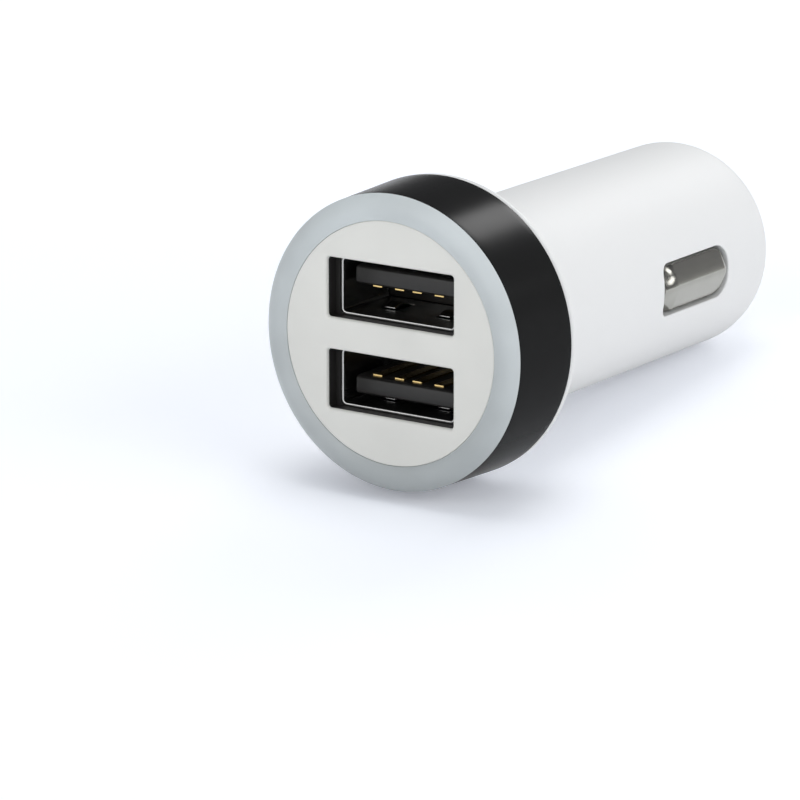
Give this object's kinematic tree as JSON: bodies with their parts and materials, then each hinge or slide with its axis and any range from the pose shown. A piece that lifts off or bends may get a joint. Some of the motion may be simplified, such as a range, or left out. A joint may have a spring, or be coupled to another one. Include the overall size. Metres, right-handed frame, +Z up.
{
  "type": "car usb charger plug",
  "caption": "Round-headed plug for a vehicle's power socket with stacked ports in its face, a light ring and sprung contacts.",
  "frame": {"origin": "on the barrel's axis where the straight barrel begins, behind the head's neck", "axes": "+Y along the barrel's axis, out through the tip; the ports face -Y; +Z up through the stacked ports; the side contacts lie on +X and -X"},
  "size_m": [0.0292, 0.0607, 0.0292],
  "materials": {
    "white_body": "smooth satin-gloss white moulding",
    "black_band": "gloss black",
    "light_diffuser": "satin, translucent grey light ring",
    "cream_face": "fine matt warm white",
    "black_liner": "matt black",
    "plated_contact": "bright nickel plate",
    "shell_metal": "tinned sheet metal",
    "gold_contact": "gold plate",
    "seat_brass": "plain brass",
    "spring_steel": "spring wire",
    "board_green": "solder mask",
    "board_white": "white solder mask",
    "chip_black": "moulded epoxy",
    "ferrite": "sintered ferrite",
    "copper_wire": "enamelled copper",
    "capacitor_can": "drawn can",
    "resistor_ceramic": "fired ceramic",
    "diode_lens": "clear resin over phosphor"
  },
  "bodies": {
    "housing": {"body_shell": "white_body", "trim_band": "black_band", "light_ring": "light_diffuser", "face_plate": "cream_face", "port_block": "black_liner", "usb_shell_upper": "shell_metal", "usb_shell_lower": "shell_metal", "usb_tongue_upper": "black_liner", "usb_tongue_lower": "black_liner", "usb_pins_upper": "gold_contact", "usb_pins_lower": "gold_contact", "light_board": "board_white", "light_diodes": "diode_lens", "main_board": "board_green", "inductor_core": "ferrite", "inductor_winding": "copper_wire", "input_capacitor": "capacitor_can", "output_capacitor": "capacitor_can", "converter_chip": "chip_black", "rectifier_diode": "chip_black", "charge_chips": "chip_black", "chip_resistors": "resistor_ceramic", "input_fuse": "resistor_ceramic", "ground_terminal_right": "seat_brass", "ground_terminal_left": "seat_brass", "side_spring_right": "spring_steel", "side_spring_left": "spring_steel", "spring_seat": "seat_brass", "tip_spring": "spring_steel"},
    "right_contact": {"side_contact_right": "plated_contact"},
    "left_contact": {"side_contact_left": "plated_contact"},
    "tip": {"tip_contact": "plated_contact"}
  },
  "joints": [
    {"name": "right_contact_press", "type": "slide", "parent": "housing", "child": "right_contact", "axis": [-1, 0, 0], "range_m": [0, 0.0007], "stiffness_N_per_m": 900, "springref_m": -0.0009, "deforming": ["side_spring_right"]},
    {"name": "left_contact_press", "type": "slide", "parent": "housing", "child": "left_contact", "axis": [1, 0, 0], "range_m": [0, 0.0007], "stiffness_N_per_m": 900, "springref_m": -0.0009, "deforming": ["side_spring_left"]},
    {"name": "tip_press", "type": "slide", "parent": "housing", "child": "tip", "axis": [0, -1, 0], "range_m": [0, 0.003], "stiffness_N_per_m": 350, "springref_m": -0.003, "deforming": ["tip_spring"]}
  ]
}
